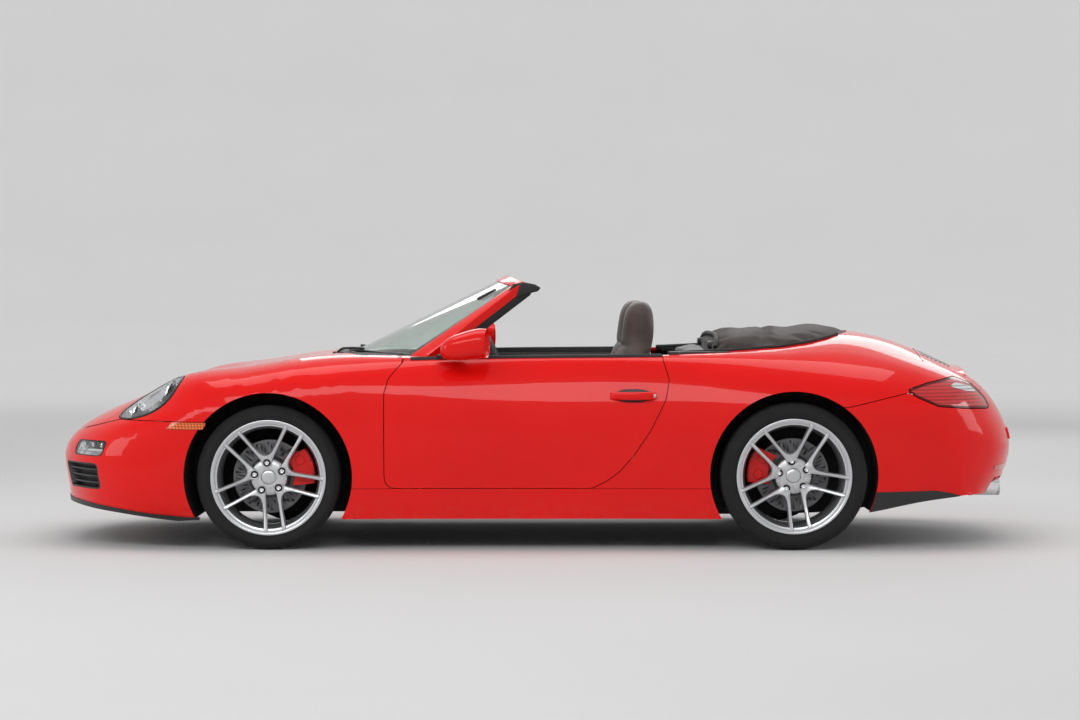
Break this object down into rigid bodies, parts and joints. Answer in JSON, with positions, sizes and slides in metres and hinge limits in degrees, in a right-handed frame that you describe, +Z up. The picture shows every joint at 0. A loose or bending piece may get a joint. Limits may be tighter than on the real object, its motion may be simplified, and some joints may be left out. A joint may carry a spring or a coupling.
{
  "type": "convertible car",
  "caption": "Low two-door open sports car with a rear engine, soft top folded behind the seats, steered front wheels, opening doors and lids.",
  "frame": {"origin": "on the floor, under the middle of the car's length and width", "axes": "+Z up, -X towards the nose, -Y towards the car's own left side"},
  "size_m": [4.435, 1.9598, 1.2292],
  "materials": {
    "red_paint": "glossy solid red car paint",
    "black_plastic": "black grained plastic",
    "black_fabric": "black woven soft top fabric",
    "brown_leather": "dark brown leather",
    "green_glass": "lightly green tinted glass",
    "clear_lamp": "clear lamp cover",
    "red_lamp": "red lamp cover",
    "silver_paint": "silver painted alloy",
    "steel": "turned steel",
    "chrome": "bright steel",
    "rubber": "tyre rubber",
    "dark_metal": "cast and coated metal"
  },
  "bodies": {
    "body": {"cowl": "black_plastic", "dashboard": "black_plastic", "engine": "dark_metal", "exhaust": "chrome", "floor_pan": "black_plastic", "folded_top": "black_fabric", "front_axle": "dark_metal", "front_bumper": "red_paint", "front_fender_left": "red_paint", "front_fender_right": "red_paint", "front_frame": "black_plastic", "front_lamp_left": "clear_lamp", "front_lamp_right": "clear_lamp", "headlight_left": "clear_lamp", "headlight_right": "clear_lamp", "rear_axle": "dark_metal", "rear_bumper": "red_paint", "rear_frame": "black_plastic", "rear_quarter_left": "red_paint", "rear_quarter_right": "red_paint", "rear_seats": "brown_leather", "seat_left": "brown_leather", "seat_right": "brown_leather", "sill_left": "red_paint", "sill_right": "red_paint", "tail_light_left": "red_lamp", "tail_light_right": "red_lamp", "top_deck": "red_paint", "windscreen_frame": "red_paint", "windscreen_glass": "green_glass"},
    "front_lid": {"front_lid": "red_paint"},
    "engine_lid": {"engine_lid": "red_paint"},
    "steering_wheel": {"steering_wheel": "black_plastic"},
    "door_left": {"door_left": "red_paint"},
    "steer_left": {"knuckle_left": "dark_metal"},
    "front_wheel_left": {"front_rim_left": "silver_paint", "front_tyre_left": "rubber", "front_disc_left": "steel"},
    "rear_wheel_left": {"rear_rim_left": "silver_paint", "rear_tyre_left": "rubber", "rear_disc_left": "steel"},
    "door_right": {"door_right": "red_paint"},
    "steer_right": {"knuckle_right": "dark_metal"},
    "front_wheel_right": {"front_rim_right": "silver_paint", "front_tyre_right": "rubber", "front_disc_right": "steel"},
    "rear_wheel_right": {"rear_rim_right": "silver_paint", "rear_tyre_right": "rubber", "rear_disc_right": "steel"}
  },
  "joints": [
    {"name": "door_left_hinge", "type": "hinge", "parent": "body", "child": "door_left", "pos_m": [-0.608, -0.842, 0.5], "axis": [0, 0, -1], "range_deg": [0, 65]},
    {"name": "door_right_hinge", "type": "hinge", "parent": "body", "child": "door_right", "pos_m": [-0.608, 0.842, 0.5], "axis": [0, 0, 1], "range_deg": [0, 65]},
    {"name": "front_lid_hinge", "type": "hinge", "parent": "body", "child": "front_lid", "pos_m": [-1.065, 0, 0.8241], "axis": [0, 1, 0], "range_deg": [0, 60]},
    {"name": "engine_lid_hinge", "type": "hinge", "parent": "body", "child": "engine_lid", "pos_m": [1.87, 0, 0.81095], "axis": [0, -1, 0], "range_deg": [0, 50]},
    {"name": "steering_left", "type": "hinge", "parent": "body", "child": "steer_left", "pos_m": [-1.1925, -0.698, 0.3235], "axis": [0, 0, 1], "range_deg": [-35, 35]},
    {"name": "steering_right", "type": "hinge", "parent": "body", "child": "steer_right", "pos_m": [-1.1925, 0.698, 0.3235], "axis": [0, 0, 1], "range_deg": [-35, 35]},
    {"name": "steering_wheel_turn", "type": "hinge", "parent": "body", "child": "steering_wheel", "pos_m": [-0.15, -0.365, 0.78], "axis": [0.9135, 0, 0.4067], "range_deg": [-495, 495]},
    {"name": "front_wheel_left_spin", "type": "hinge", "parent": "steer_left", "child": "front_wheel_left", "pos_m": [-1.1925, -0.743, 0.3235], "axis": [0, 1, 0], "continuous": true},
    {"name": "rear_wheel_left_spin", "type": "hinge", "parent": "body", "child": "rear_wheel_left", "pos_m": [1.1575, -0.742, 0.33], "axis": [0, 1, 0], "continuous": true},
    {"name": "front_wheel_right_spin", "type": "hinge", "parent": "steer_right", "child": "front_wheel_right", "pos_m": [-1.1925, 0.743, 0.3235], "axis": [0, 1, 0], "continuous": true},
    {"name": "rear_wheel_right_spin", "type": "hinge", "parent": "body", "child": "rear_wheel_right", "pos_m": [1.1575, 0.742, 0.33], "axis": [0, 1, 0], "continuous": true}
  ],
  "couplings": [
    {"joint": "steering_right", "follows": "steering_left", "ratio": 1},
    {"joint": "steering_wheel_turn", "follows": "steering_left", "ratio": 14}
  ]
}
